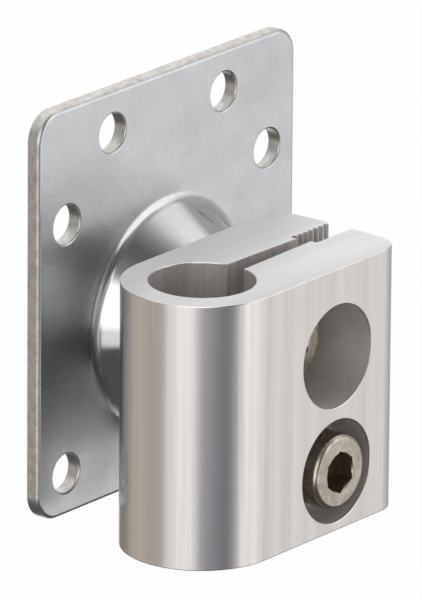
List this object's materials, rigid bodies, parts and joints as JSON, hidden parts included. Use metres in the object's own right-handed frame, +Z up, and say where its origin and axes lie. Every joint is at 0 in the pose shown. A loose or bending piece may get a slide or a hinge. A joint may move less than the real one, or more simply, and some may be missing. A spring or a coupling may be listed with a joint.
{
  "type": "tube support bracket",
  "caption": "Wall bracket for an upright round tube: a split aluminium clamp block with recessed socket screws on a pressed steel wall plate with a drawn dome.",
  "frame": {"origin": "on the wall plane, at the back of the wall plate, on the axis of the dome and the fixing screw, which is also the centre of the four outer wall holes", "axes": "+X along the wall towards the clamp block's open end, +Y into the wall, +Z up along the tube"},
  "size_m": [0.083, 0.049, 0.09],
  "materials": {
    "zinc_plated_steel": "bright zinc-plated, satin gloss",
    "extruded_aluminium": "satin mill finish with fine lines along the extrusion",
    "stainless_screw": "satin stainless",
    "weld_nut": "plated with the plate"
  },
  "bodies": {
    "root": {"wall_plate": "zinc_plated_steel", "clamp_block": "extruded_aluminium", "fixing_screw": "stainless_screw", "clamp_screw": "stainless_screw", "weld_nut": "weld_nut"}
  },
  "joints": []
}
